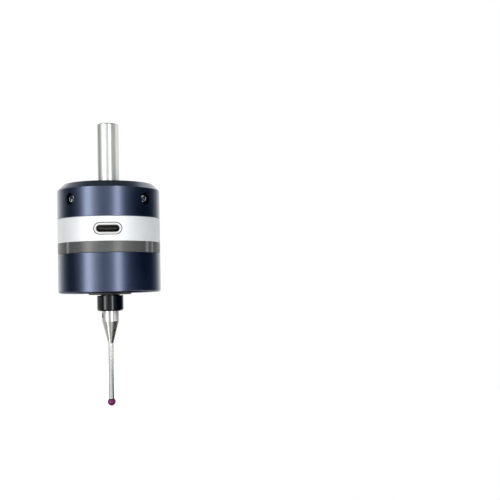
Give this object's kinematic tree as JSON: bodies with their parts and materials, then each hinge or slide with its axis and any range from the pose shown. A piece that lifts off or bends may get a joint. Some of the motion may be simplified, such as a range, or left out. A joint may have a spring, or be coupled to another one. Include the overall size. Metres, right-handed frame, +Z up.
{
  "type": "edge finder",
  "caption": "Electronic touch edge finder: round stacked body with a straight shank, charging socket, light ring and a sprung stylus with a ruby ball.",
  "frame": {"origin": "on the shank axis, on the top face of the upper housing where the shank comes out", "axes": "+Z up along the shank, away from the stylus; -Y out of the charging socket"},
  "size_m": [0.038, 0.038, 0.106],
  "materials": {
    "navy_anodised": "satin navy anodised, fine turning lines",
    "clear_anodised": "satin clear anodised",
    "ground_steel": "ground and polished steel",
    "smoky_diffuser": "smoky translucent plastic",
    "black_anodised": "gloss black anodised",
    "black_screw_steel": "blackened steel",
    "socket_steel": "nickel plated steel",
    "black_moulding": "black moulded plastic",
    "board_laminate": "green circuit board laminate",
    "lamp_body": "white lamp body",
    "gilt_brass": "gilt brass",
    "boot_rubber": "black rubber",
    "spring_steel": "spring wire",
    "ruby": "polished ruby"
  },
  "bodies": {
    "housing": {"shank": "ground_steel", "upper_housing": "navy_anodised", "adjusting_screws": "black_screw_steel", "port_ring": "clear_anodised", "preload_screw": "gilt_brass", "usb_shell": "socket_steel", "usb_tongue": "black_moulding", "main_board": "board_laminate", "board_screws": "ground_steel", "board_chips": "black_moulding", "indicator_leds": "lamp_body", "light_ring": "smoky_diffuser", "lower_housing": "navy_anodised", "tie_screws": "ground_steel", "seat_board": "board_laminate", "seat_screws": "ground_steel", "seat_balls": "ground_steel", "link_pins": "gilt_brass", "boot_clamp": "black_anodised"},
    "spring": {"preload_spring": "spring_steel"},
    "boot": {"dust_boot": "boot_rubber"},
    "stylus_rotor": {"rotor_hub": "black_screw_steel", "seat_rods": "ground_steel", "stylus_holder": "black_anodised", "stylus": "ground_steel", "ruby_ball": "ruby"}
  },
  "joints": [
    {"name": "tilt_front_seat", "type": "hinge", "parent": "housing", "child": "spring", "pos_m": [0, -0.0095, -0.0318], "axis": [1, 0, 0], "range_deg": [0, 8], "stiffness_Nm_per_rad": 0.036, "springref_deg": -34.38, "deforming": ["preload_spring", "dust_boot"]},
    {"name": "tilt_right_seat", "type": "hinge", "parent": "spring", "child": "boot", "pos_m": [0.00823, 0.00475, -0.0318], "axis": [-0.5, 0.866, 0], "range_deg": [0, 8], "stiffness_Nm_per_rad": 0.036, "springref_deg": -34.38, "deforming": ["preload_spring", "dust_boot"]},
    {"name": "tilt_left_seat", "type": "hinge", "parent": "boot", "child": "stylus_rotor", "pos_m": [-0.00823, 0.00475, -0.0318], "axis": [-0.5, -0.866, 0], "range_deg": [0, 8], "stiffness_Nm_per_rad": 0.036, "springref_deg": -34.38, "deforming": ["preload_spring", "dust_boot"]}
  ]
}
